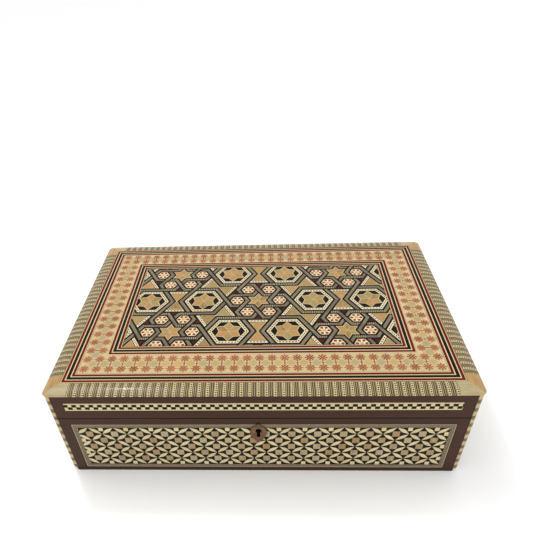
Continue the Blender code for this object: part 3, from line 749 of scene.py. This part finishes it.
def set_at(centres, shapes):
    """Every shape at every centre."""
    shapes = np.atleast_2d(shapes)
    return (centres[:, None, None] + shapes[None]).reshape(-1, shapes.shape[-1])


bead = 2.15 + 0.4 * DIAMOND
inner_bead = 1.05 + 0.24 * DIAMOND
link = np.array([0.0, 0.45 - 0.3j, 1.0, 0.45 + 0.3j])
tip = 3.15 + 0.3 * DIAMOND
band.add(set_at(rosettes, 2.75 * polar(1.0, 30.0 * np.arange(12))), ROSEWOOD, lift=1)
band.add(set_at(rosettes, eighths[:, None] * bead), WHITE_BONE, lift=2)
band.add(set_at(rosettes, quarters[:, None] * inner_bead), WHITE_BONE, lift=2)
band.add(set_at(rosettes, quarters[:, None] * tip), DARK_RED, lift=1)
band.add(set_at(rosettes, quarters[:, None] * polar(1, 45) * (tip - 0.55)), DARK_RED, lift=2)
band.add(set_at(diamonds, 3.35 * DIAMOND), BAND_BONE, lift=1)
band.add(set_at(diamonds, 3.1 * DIAMOND), OLIVE_PEARL, math.radians(45), lift=2)
band.add(set_at(knots, quarters[:, None] * link), DARK_RED, lift=1)
band_piece = band.lay("rosette_band_tesserae", "lid", "rosette_mosaic",
                      (-BAND_OUTER[0], -BAND_OUTER[1]), BAND_OUTER, (0, 0, top_level), **TOP)
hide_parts("rosette_band")


# %% [markdown]
# ## The glue bed
#
# All four regions lie in one bed of black mastic, which shows between the tesserae as thin dark
# lines and, in the star field, as the black of the pattern.


# %% The bed
def slab(name, low, high, look, body, soften):
    """A closed slab between two corners, with its edges softened by Bevel."""
    signs = np.array(np.meshgrid([0, 1], [0, 1], [0, 1], indexing="ij")).reshape(3, -1).T
    points = np.array(low) + signs * (np.array(high) - np.array(low))
    faces = [(0, 1, 3, 2), (4, 6, 7, 5), (0, 4, 5, 1), (2, 3, 7, 6), (0, 2, 6, 4), (1, 5, 7, 3)]
    mesh = bpy.data.meshes.new(name)
    mesh.from_pydata(points.tolist(), [], faces)
    layer = mesh.uv_layers.new(name="own")
    corners = np.empty(len(mesh.loops), dtype=np.int32)
    mesh.loops.foreach_get("vertex_index", corners)
    layer.data.foreach_set("uv", (points[corners, :2] / MM).ravel())
    mesh.materials.append(look)
    piece = place_piece(mesh, name, body)
    edge = piece.modifiers.new("soft_edge", "BEVEL")
    edge.width = soften
    edge.segments = 2
    return piece


low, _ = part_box("outer_frame")
slab("glue_bed", (low.x, low.y, low.z), (-low.x, -low.y, top_level - 1.5 * LIFT * MM), EBONY,
     "lid", 0.00005)

# %% [markdown]
# ## The striped border
#
# Round the lid runs a border of strips that cross it: one of bone with a row of black pegs, then
# three thin dark lines. It curves down to a thin lip, so it is a profile carried along a path.
# The stripes follow the surface through its own map: x along the edge and y across it.


# %% Stripes of the border
PERIOD = 4.71                   # one bone strip and its three lines, in millimetres
BONE_SHARE = 0.31               # the bone strip's share of that
PEG_STEP = 1.37
PEG_RADIUS_SQUARED = 0.21
def stripe_finish(name):
    """One bone strip with pegs in each period, then three dark lines that wander a little."""
    finish = Finish(name, Specular_IOR_Level=0.12, Coat_Weight=0.08, Coat_Roughness=0.05)
    own = finish.own()
    along, across = finish.part(own, "X"), finish.part(own, "Y")
    wander = finish.noise(own, (30.0, 16.0, 1.0), 2.0)
    slip = along + (wander - 0.5) * 1.2
    phase = (slip / PERIOD) % 1.0
    in_bone = phase < BONE_SHARE
    peg_x = (phase - BONE_SHARE / 2) * PERIOD
    peg_y = ((across / PEG_STEP) % 1.0 - 0.5) * PEG_STEP
    peg = (peg_x * peg_x + peg_y * peg_y) < PEG_RADIUS_SQUARED
    lines = ((phase - BONE_SHARE) / (1 - BONE_SHARE) * 3.0 + wander * 0.25) % 1.0 < 0.54
    streak = finish.noise(own, (0.35, 9.0, 1.0), 3.0)
    dark = finish.ramp(streak, tone(32, 22, 13), tone(68, 52, 34), tone(28, 18, 11))
    pale = finish.mix(streak, tone(190, 172, 128), tone(146, 124, 84))
    lined = finish.mix(lines, pale, dark)
    bone = finish.mix(streak, tone(240, 226, 178), tone(214, 192, 138))
    face = finish.mix(in_bone, lined, finish.mix(peg, bone, tone(18, 12, 8)))
    dull = finish.noise(own, (6.0, 5.0, 1.0), 3.0)
    finish.relief(dull * 0.8 + streak * 0.2, 0.12, 0.5)
    return finish.done(face, 0.16 + dull * 0.22)


STRIPES = stripe_finish("striped_border")


# %% A profile carried along a path
def round_off(mesh, look, degrees):
    """Turns every face outward, and shades the solid smooth except at edges over degrees."""
    shape = bmesh.new()
    shape.from_mesh(mesh)
    bmesh.ops.recalc_face_normals(shape, faces=shape.faces)
    shape.to_mesh(mesh)
    shape.free()
    mesh.materials.append(look)
    mesh.shade_smooth()
    mesh.set_sharp_from_angle(angle=math.radians(degrees))


def carried(name, rows, look, body, own):
    """A closed solid from rows of points: the last point of a row joins its first.

    rows has the shape (path, profile, 3). Each face joins two neighbours on the profile and two on
    the path, and the two ends are closed with one face each. own has the shape (path, profile + 1,
    2): a map that doesn't wrap round.
    """
    path, profile, _ = rows.shape
    index = np.arange(path * profile).reshape(path, profile)
    after = np.roll(index, -1, axis=1)
    quads = np.stack([index[:-1], after[:-1], after[1:], index[1:]], axis=-1).reshape(-1, 4)
    ends = [index[0][::-1].tolist(), index[-1].tolist()]
    mesh = bpy.data.meshes.new(name)
    mesh.from_pydata(rows.reshape(-1, 3).tolist(), [], quads.tolist() + ends)
    layer = mesh.uv_layers.new(name="own")
    around_quads = np.stack([own[:-1, :-1], own[:-1, 1:], own[1:, 1:], own[1:, :-1]], axis=2)
    uv = np.concatenate([around_quads.reshape(-1, 2), own[0, :-1][::-1], own[-1, :-1]])
    layer.data.foreach_set("uv", uv.ravel())
    round_off(mesh, look, 40)
    return place_piece(mesh, name, body)


BORDER_WIDE_X, BORDER_WIDE_Y = 8.75, 8.85
EDGE_X, EDGE_Y = 123.4, 82.5
DROP, BEND = 1.8, 2.4
TOP_Z, LIP_LOW = 72.0, 69.8
# The profile as (share of the width, height): over the curve, down the inside, back underneath.
shares = np.concatenate([[0.0], np.linspace(0, 1, 15)[1:] ** 1.3])
profile_share = np.concatenate([shares, [1.0, 0.0]])
profile_z = np.concatenate([TOP_Z - DROP * (1 - shares) ** BEND, [LIP_LOW, LIP_LOW]])


def with_heights(xy):
    """Points of shape (path, profile, 2) in millimetres, with the profile's heights, in metres."""
    z = np.broadcast_to(profile_z[None, :, None], (len(xy), len(profile_z), 1))
    return np.concatenate([xy, z], axis=2) * MM


def lengthwise_map(ends, wide):
    """The border's own map: x along the path, y the length of the profile so far."""
    run = np.hypot(np.diff(np.r_[profile_share, 0.0]) * wide,
                   np.diff(np.r_[profile_z, profile_z[0]]))
    across = np.r_[0.0, np.cumsum(run)]
    return np.stack(np.broadcast_arrays(np.array(ends)[:, None], across[None, :]), axis=2)


PEARL_LONG = 14.7
HALF_JOINT = 0.15               # half the gap between a strip and a pearl corner
BREAK_X, BREAK_Y = EDGE_X - PEARL_LONG, EDGE_Y - PEARL_LONG
# The long sides, then the ends: the axis that a side runs along, half its length, the border's
# outer edge and width, the steps along it, and where the stripes start. Each side's map begins
# at a period of its own, so that no two sides are alike.
LONG_SIDES = (0, BREAK_X, EDGE_Y, BORDER_WIDE_Y, 40, 0.47)
END_SIDES = (1, BREAK_Y, EDGE_X, BORDER_WIDE_X, 30, 68.2)
for side_name, sign, side_kind, period in (
        ("front", -1, LONG_SIDES, 100), ("back", 1, LONG_SIDES, 300),
        ("left", -1, END_SIDES, 400), ("right", 1, END_SIDES, 600)):
    axis, half, border_edge, wide, count, phase = side_kind
    ends = np.linspace(-half + HALF_JOINT, half - HALF_JOINT, count)
    xy = np.empty((count, len(profile_share), 2))
    xy[..., axis] = ends[:, None]
    xy[..., 1 - axis] = sign * (border_edge - profile_share * wide)
    piece = carried(f"border_strips_{side_name}", with_heights(xy), STRIPES, "lid",
                    lengthwise_map(ends + phase + BONE_SHARE / 2 * PERIOD + PERIOD * period, wide))
    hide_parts(f"striped_border_{side_name}")

# %% [markdown]
# ## The pearl corners
#
# Two pieces of thick pearl meet in a mitre at each corner of the border and are rounded together.
# The path goes along one side, round the corner and along the other; the profile is the border's.


# %% Pearl corners
def corner_pearl_finish(name, light, middle, dark):
    """A large piece of shell: broad growth bands, bent by noise, with a soft shine."""
    finish = Finish(name, Specular_IOR_Level=0.15, Coat_Weight=0.08, Coat_Roughness=0.06)
    own = finish.own()
    cloud = finish.noise(own, (7.0, 3.0, 1.0), 3.0)
    bands = finish.noise(own, (16.0, 1.1, 1.0), 4.0, 0.62)
    body = finish.ramp(bands * 0.9 + cloud * 0.5 - 0.2, dark, middle, light, middle)
    finish.relief(bands, 0.04, 0.5)
    return finish.done(body, 0.16 + cloud * 0.2)


WARM_PEARL = corner_pearl_finish("warm_pearl", tone(196, 160, 106), tone(176, 136, 84),
                                 tone(140, 106, 64))
COOL_PEARL = corner_pearl_finish("cool_pearl", tone(196, 180, 140), tone(172, 156, 114),
                                 tone(140, 124, 88))
CORNER_ROUND, LEAST_ROUND = 4.0, 0.15


def corner_rows(sx, sy):
    """One corner: along the front or back, round an arc, then along the end.

    The arc's radius is the outer radius less the inset, and never quite zero.
    """
    inset_x = profile_share * BORDER_WIDE_X
    inset_y = profile_share * BORDER_WIDE_Y
    radius = np.maximum(CORNER_ROUND - (inset_x + inset_y) / 2, LEAST_ROUND)
    centre_x = EDGE_X - inset_x - radius
    centre_y = EDGE_Y - inset_y - radius
    start = np.stack([np.full_like(centre_x, BREAK_X + HALF_JOINT), centre_y + radius], axis=1)
    stop = np.stack([centre_x + radius, np.full_like(centre_y, BREAK_Y + HALF_JOINT)], axis=1)
    angles = np.radians(np.linspace(90, 0, 13))[:, None]
    arc = np.stack([centre_x + radius * np.cos(angles), centre_y + radius * np.sin(angles)],
                   axis=2)
    return with_heights(np.concatenate([start[None], arc, stop[None]]) * np.array([sx, sy]))


for corner, (sx, sy) in {"front_left": (-1, -1), "front_right": (1, -1), "back_left": (-1, 1),
                         "back_right": (1, 1)}.items():
    rows = corner_rows(sx, sy)
    half = len(rows) // 2
    for part, span, look in (("long", slice(0, half + 1), COOL_PEARL),
                             ("end", slice(half, None), WARM_PEARL)):
        share = rows[span]
        flat = share[..., :2] / MM
        own = np.concatenate([flat, flat[:, :1]], axis=1)
        own = own if part == "long" else own[..., ::-1]
        piece = carried(f"pearl_{corner}_{part}", share, look, "lid", own)
        if part == "long":
            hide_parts(f"pearl_corner_{corner}")

# %% [markdown]
# ## Checker strips and mosaic panels
#
# Each lid rail carries two rows of ebony squares on bone between two bone lines. Each board of the
# base carries a panel: pearl lozenges stand in a net of slim bone leaves on black, inside a rope
# line. The leaves join the diagonal neighbours of a lattice, so the panel is one small motif
# repeated, trimmed to a border.

# %% Four walls to dress
WALL_PLANES = {
    "front": ((0, -0.0817, 0), (1, 0, 0), 112.5),
    "back": ((0, 0.0817, 0), (-1, 0, 0), 112.5),
    "left": ((-0.1226, 0, 0), (0, -1, 0), 71.6),
    "right": ((0.1226, 0, 0), (0, 1, 0), 71.6),
}
PROUD = 0.05 * MM               # how far the tesserae stand out of the panel's ground


def wall_plane(side_name):
    """The plane just proud of a wall, ready for lay, and the panel's half length."""
    origin, across, half = WALL_PLANES[side_name]
    normal = np.cross(across, (0, 0, 1))
    where = {"origin": np.array(origin) + normal * PROUD, "across": across, "up": (0, 0, 1)}
    return where, half


# %% Checker strips
SQUARE_WIDE, SQUARE_HIGH = 2.5, 2.0
LINE_HIGH = 0.95
SQUARE_START = 0.35             # how far the first square begins beyond the strip's end
SPREAD = 1.1                    # the ebony squares lie on top and hide the joints
CHECKER_LOW, CHECKER_TALL = 57.5, 5.8
for number, side_name in enumerate(WALL_PLANES):
    where, half = wall_plane(side_name)
    rows_low = CHECKER_LOW + (CHECKER_TALL - 2 * SQUARE_HIGH) / 2
    checker = Mosaic(seed=41 + number)
    for low in (CHECKER_LOW, CHECKER_LOW + CHECKER_TALL - 1.0):
        line = np.array([-half, half, half + 1j * LINE_HIGH, -half + 1j * LINE_HIGH])
        checker.add(line + 1j * low, DULL_BONE)
    count = int(2 * half / (2 * SQUARE_WIDE)) + 1
    starts = -half - SQUARE_START + 2 * SQUARE_WIDE * np.arange(count)
    square = np.array([0, SQUARE_WIDE, SQUARE_WIDE + 1j * SQUARE_HIGH, 1j * SQUARE_HIGH])
    middle = square.mean()
    for row in (0, 1):
        dark = starts + SQUARE_WIDE * (1 - row) + 1j * (rows_low + row * SQUARE_HIGH)
        pale = starts + SQUARE_WIDE * row + 1j * (rows_low + row * SQUARE_HIGH)
        checker.add(set_at(dark, (square - middle) * SPREAD + middle), EBONY, lift=1)
        checker.add(set_at(pale, square), DULL_BONE)
    checker.lay(f"checker_{side_name}", "lid", "bone_and_ebony_mosaic", (-half, CHECKER_LOW),
                (half, CHECKER_LOW + CHECKER_TALL), thick=0.04, **where)

# %% Mosaic panels
PANEL_LOW, PANEL_HIGH = 3.9, 44.9
ROPE_WIDE = 2.8
NET_X, NET_Y = 7.62, 5.88
NET_START, NET_LOW = 3.35, 12.85                          # a lozenge of the lowest row
LEAF_HALF = 1.3
KEY_X, KEY_HALF, KEY_LOW, KEY_HIGH = -1.1, 2.2, 34.0, 42.2
ROPE_LINES = ((0.0, 0.25, DULL_BONE), (0.32, 1.0, ROPE), (1.12, 1.85, ROPE), (1.97, 2.7, ROPE))
LOZENGE = np.array([-1.9 + 2.35j, -2.15 + 1.6j, -2.1 - 1.9j, -1.6 - 2.4j, 1.8 - 2.3j,
                    2.1 - 1.7j, 2.15 + 1.9j, 1.7 + 2.4j])


def leaf(from_point, to_point):
    """A slim six-sided leaf between two points, widest either side of its middle."""
    along = (to_point - from_point) / abs(to_point - from_point)
    middle = (from_point + to_point) / 2
    stand = 0.35 * along
    wide = 1j * along * LEAF_HALF
    return np.stack([from_point + stand, middle - 1.0 * along - wide * 0.9,
                     middle + 0.9 * along - wide, to_point - stand,
                     middle + 1.0 * along + wide * 0.9, middle - 0.9 * along + wide], axis=-1)


def box_at(centres, wide, tall):
    """Rectangles about the centres."""
    return set_at(centres, rectangle(wide / 2, tall / 2))


for number, side_name in enumerate(WALL_PLANES):
    where, half = wall_plane(side_name)
    key_hole = None
    if side_name == "front":
        key_hole = ((KEY_X - KEY_HALF, KEY_LOW), (KEY_X + KEY_HALF, KEY_HIGH))
    tall = (PANEL_HIGH - PANEL_LOW) / 2
    centre = 1j * (PANEL_LOW + PANEL_HIGH) / 2
    rope = Mosaic(seed=61 + number)
    for near, far, look in ROPE_LINES:
        rope.add(mitred(half, tall, near, far) + centre, look, ALONG_SIDES)
    rope.lay(f"panel_{side_name}_rope", "base", "bone_and_ebony_mosaic", (-half, PANEL_LOW),
             (half, PANEL_HIGH), thick=0.06, **where)
    net = Mosaic(seed=51 + number)
    inner_half = half - ROPE_WIDE
    inner_low, inner_high = PANEL_LOW + ROPE_WIDE, PANEL_HIGH - ROPE_WIDE
    across_count = int(inner_half / NET_X) + 3
    column, rank = np.meshgrid(np.arange(-across_count, across_count + 1), np.arange(-1, 8),
                               indexing="ij")
    spot = (column * NET_X + NET_START) + 1j * (NET_LOW + (rank - 1) * NET_Y)
    even = (column + rank) % 2 == 0
    nodes = spot[even]
    lozenges = spot[~even & (rank > 0) & (rank < 6)]
    lozenges = lozenges[abs(lozenges.real) < inner_half - 1.0]
    edge_squares = spot[~even & ((rank == 0) | (rank == 6))]
    diagonal = NET_X + 1j * NET_Y
    for step in (diagonal, diagonal.conjugate()):
        net.add(leaf(nodes, nodes + step), DULL_BONE, np.full(len(nodes), np.angle(step)))
    net.add(set_at(lozenges, LOZENGE), DULL_PEARL, math.radians(90))
    edge_squares = edge_squares.real + 1j * np.where(edge_squares.imag < 20, inner_low + 1.5,
                                                     inner_high - 1.5)
    net.add(box_at(edge_squares, 2.7, 2.9), DULL_BONE)
    end_squares = np.concatenate([
        1.3 - inner_half + 1j * (NET_LOW + NET_Y * np.array([1, 3])),
        inner_half - 1.3 + 1j * (NET_LOW + NET_Y * np.array([0, 2, 4]))])
    net.add(box_at(end_squares, 2.4, 3.2), DULL_BONE)
    net.lay(f"panel_{side_name}_net", "base", "bone_and_ebony_mosaic", (-inner_half, inner_low),
            (inner_half, inner_high), thick=0.06, hole=key_hole, **where)

# %% [markdown]
# ## The lining
#
# Cotton velvet is glued over card: on the floor, round the walls and under the lid. It is thin,
# so its padding only shows as a soft swell that is pulled down at the edges.


# %% Padded linings
def cushion(low, high, axis, outward):
    """Points and faces of a closed pad from low to high that faces outward along one axis.

    With u and v from -1 to 1 across the pad, the face stands at (1 - u^8) * (1 - v^8) of the
    swell, plus two slow waves, and the flat back closes it.
    """
    along, across = [number for number in range(3) if number != axis]
    u, v = np.meshgrid(np.linspace(-1, 1, 61), np.linspace(-1, 1, 41), indexing="ij")
    crown = (1 - u ** 8) * (1 - v ** 8)
    wave = 0.12 * np.sin(5.1 * u + 2.3 * v) + 0.1 * np.cos(4.3 * v - 3.7 * u)
    height = np.clip(crown * (0.85 + wave), 0, 1)
    front = np.empty((*u.shape, 3))
    front[..., along] = (low[along] + high[along]) / 2 + u * (high[along] - low[along]) / 2
    front[..., across] = (low[across] + high[across]) / 2 + v * (high[across] - low[across]) / 2
    outer, rear = (high[axis], low[axis]) if outward > 0 else (low[axis], high[axis])
    front[..., axis] = outer - outward * SWELL * (1 - height)
    behind = front.copy()
    behind[..., axis] = rear
    count = u.size
    index = np.arange(count).reshape(u.shape)
    quads = np.stack([index[:-1, :-1], index[1:, :-1], index[1:, 1:], index[:-1, 1:]],
                     axis=-1).reshape(-1, 4)
    rim = np.concatenate([index[:, 0], index[-1, 1:], index[-2::-1, -1], index[0, -2:0:-1]])
    walls = np.stack([rim, np.roll(rim, -1), np.roll(rim, -1) + count, rim + count], axis=1)
    faces = np.concatenate([quads, quads[:, ::-1] + count, walls[:, ::-1]])
    return np.concatenate([front.reshape(-1, 3), behind.reshape(-1, 3)]), faces


def pads(name, node, body, parts):
    """One velvet piece of several closed cushions, in place of a node."""
    points, faces, start = [], [], 0
    for part in parts:
        some, index = cushion(*part)
        points.append(some)
        faces.append(index + start)
        start += len(some)
    mesh = bpy.data.meshes.new(name)
    mesh.from_pydata(np.concatenate(points).tolist(), [], np.concatenate(faces).tolist())
    round_off(mesh, VELVET, 50)
    piece = place_piece(mesh, name, body)
    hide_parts(node)


SWELL = 0.0008                  # how far the padding rises from its pulled-down edges
CARD = 0.0012                   # card and velvet together
low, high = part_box("lining_floor")
pads("velvet_floor", "lining_floor", "base", [(low, high, 2, 1)])
low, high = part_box("lid_lining")
pads("velvet_lid", "lid_lining", "lid", [(low, high, 2, -1)])
low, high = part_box("lining_walls")
lock_low, lock_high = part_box("lock_case")
spare = 0.0003
window = (lock_low.x - spare, lock_high.x + spare)
pads("velvet_walls", "lining_walls", "base", [
    (low, (low.x + CARD, high.y, high.z), 0, 1),
    ((high.x - CARD, low.y, low.z), high, 0, -1),
    ((low.x + CARD, high.y - CARD, low.z), (high.x - CARD, high.y, high.z), 1, -1),
    ((low.x + CARD, low.y, low.z), (window[0], low.y + CARD, high.z), 1, 1),
    ((window[1], low.y, low.z), (high.x - CARD, low.y + CARD, high.z), 1, 1),
    ((window[0], low.y, low.z), (window[1], low.y + CARD, lock_low.z - spare), 1, 1)])

# %% [markdown]
# ## Floor, light and camera
#
# The box stands on a pale floor under two large soft lights and a pale sky, the plain light of a
# catalogue picture. The camera stands in front and above, a little to the right, and looks down
# at about forty degrees.

# %% Floor
floor_finish = Finish("floor", Roughness=0.85)
speck = floor_finish.noise(floor_finish.place(), (40.0, 40.0, 40.0), 2.0)
floor_finish.done(floor_finish.mix(speck, (1.0, 1.0, 0.998), (0.97, 0.97, 0.965)))
floor_mesh = bpy.data.meshes.new("floor")
floor_mesh.from_pydata([(-6, -6, 0), (6, -6, 0), (6, 6, 0), (-6, 6, 0)], [], [(0, 1, 2, 3)])
floor_mesh.materials.append(floor_finish.material)
floor = new_object("floor", floor_mesh)


# %% Lights
def soft_light(name, place, target, size, power):
    """A square area light at place, facing target."""
    lamp = bpy.data.lights.new(name, "AREA")
    lamp.shape = "SQUARE"
    lamp.size, lamp.energy = size, power
    made = new_object(name, lamp)
    made.location = place
    made.rotation_euler = (Vector(target) - Vector(place)).to_track_quat("-Z", "Y").to_euler()


soft_light("key_light", (-0.45, 0.25, 1.2), (0, 0, 0.05), 0.5, 3)
soft_light("fill_light", (0.5, -1.3, 0.9), (0, 0, 0.03), 0.9, 2.5)
soft_light("glint_light", (-0.36, 0.3, 0.95), (0, 0, 0.07), 0.07, 1.2)
world = bpy.data.worlds.new("pale_sky")
world.use_nodes = True
world.node_tree.nodes["Background"].inputs["Color"].default_value = (1.0, 1.0, 1.0, 1.0)
world.node_tree.nodes["Background"].inputs["Strength"].default_value = 1.0
bpy.context.scene.world = world
bpy.context.scene.view_settings.view_transform = "Standard"

# %% Camera
view = bpy.data.cameras.new("camera")
view.lens = 33.65
view.shift_x, view.shift_y = 0.04096, 0.11948
camera = new_object("camera", view)
camera.location = (0.00692, -0.27079, 0.27272)
camera.rotation_euler = np.radians([50.4746, 2.4109, 1.9284]).tolist()
bpy.context.scene.camera = camera
